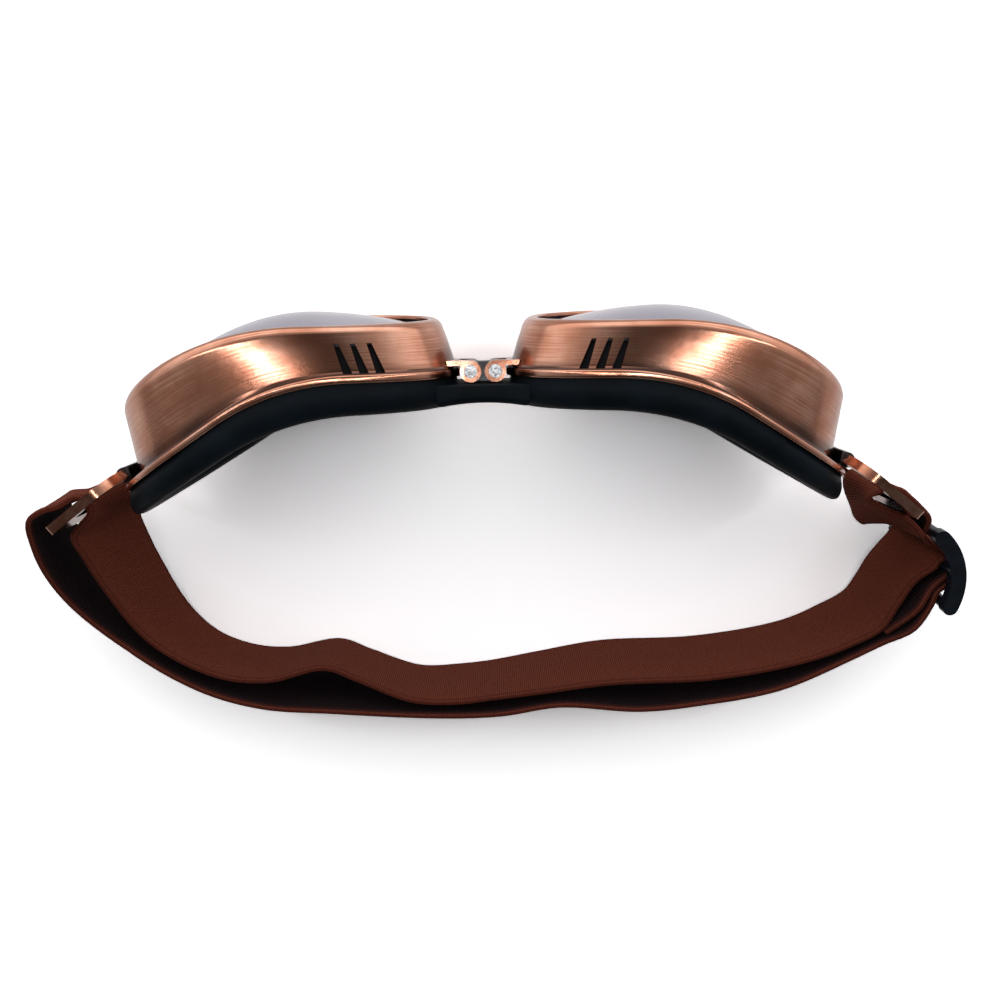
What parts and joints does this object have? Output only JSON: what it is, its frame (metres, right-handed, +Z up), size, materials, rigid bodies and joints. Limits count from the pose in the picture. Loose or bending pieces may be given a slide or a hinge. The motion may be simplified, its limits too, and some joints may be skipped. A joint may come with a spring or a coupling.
{
  "type": "steampunk goggles",
  "caption": "Copper goggles with two deep oval eye cups hinged at the nose, domed clear lenses, a rubber face pad and an elastic strap with rings and a slider.",
  "frame": {"origin": "the middle of the whole object in plan, on the surface it stands on", "axes": "+X to the right of the picture, +Y forwards, out through the lenses, +Z up, from the cheek side of the cups to their brow side"},
  "size_m": [0.2453, 0.1132, 0.06],
  "materials": {
    "copper": "antiqued brushed copper",
    "dark_steel": "dark oxidised steel",
    "bright_steel": "bright nickel-plated steel",
    "rubber": "black rubber gasket",
    "pad_rubber": "blue-black soft rubber with a satin skin",
    "lens": "clear polished lens with a slight lilac mirror tint",
    "webbing": "dark reddish brown woven elastic",
    "black_plastic": "glossy blue-black moulded plastic"
  },
  "bodies": {
    "bridge": {"bridge_link": "dark_steel", "left_hinge_screw": "bright_steel", "right_hinge_screw": "bright_steel", "pad_bridge": "pad_rubber", "strap_inner_right": "webbing", "strap_inner_left": "webbing", "strap_outer_left": "webbing", "strap_outer_right": "webbing"},
    "left_cup": {"left_cup_shell": "copper", "left_lens_gasket": "rubber", "left_lens": "lens", "left_lens_retainer": "dark_steel", "left_face_pad": "pad_rubber", "left_hinge_leaf": "copper", "left_strap_clip": "dark_steel"},
    "right_cup": {"right_cup_shell": "copper", "right_lens_gasket": "rubber", "right_lens": "lens", "right_lens_retainer": "dark_steel", "right_face_pad": "pad_rubber", "right_hinge_leaf": "copper", "right_strap_clip": "dark_steel"},
    "left_ring": {"left_strap_ring": "copper", "strap_left_loop": "webbing"},
    "right_ring": {"right_strap_ring": "copper", "strap_right_loop": "webbing"},
    "slider": {"strap_slider": "black_plastic", "strap_slider_weave": "webbing", "strap_inner_tail": "webbing"}
  },
  "joints": [
    {"name": "left_nose_hinge", "type": "hinge", "parent": "bridge", "child": "left_cup", "pos_m": [-0.00682, 0.04189, 0.037], "axis": [0, 0, 1], "range_deg": [-12, 10], "deforming": ["pad_bridge", "strap_inner_left", "strap_outer_left"]},
    {"name": "right_nose_hinge", "type": "hinge", "parent": "bridge", "child": "right_cup", "pos_m": [-0.00082, 0.04189, 0.037], "axis": [0, 0, 1], "range_deg": [-10, 12], "deforming": ["pad_bridge", "strap_inner_right", "strap_outer_right"]},
    {"name": "left_ring_pivot", "type": "hinge", "parent": "left_cup", "child": "left_ring", "pos_m": [-0.09562, 0.01728, 0.03], "axis": [0, 0, 1], "range_deg": [-5, 25], "deforming": ["strap_left_loop"]},
    {"name": "right_ring_pivot", "type": "hinge", "parent": "right_cup", "child": "right_ring", "pos_m": [0.08798, 0.01728, 0.03], "axis": [0, 0, 1], "range_deg": [-25, 5], "deforming": ["strap_right_loop"]},
    {"name": "slider_slide", "type": "slide", "parent": "right_cup", "child": "slider", "axis": [0.2322, -0.967, -0.1045], "range_m": [0, 0.008], "deforming": ["strap_inner_tail", "strap_slider_weave", "strap_outer_right", "strap_right_loop"]}
  ]
}
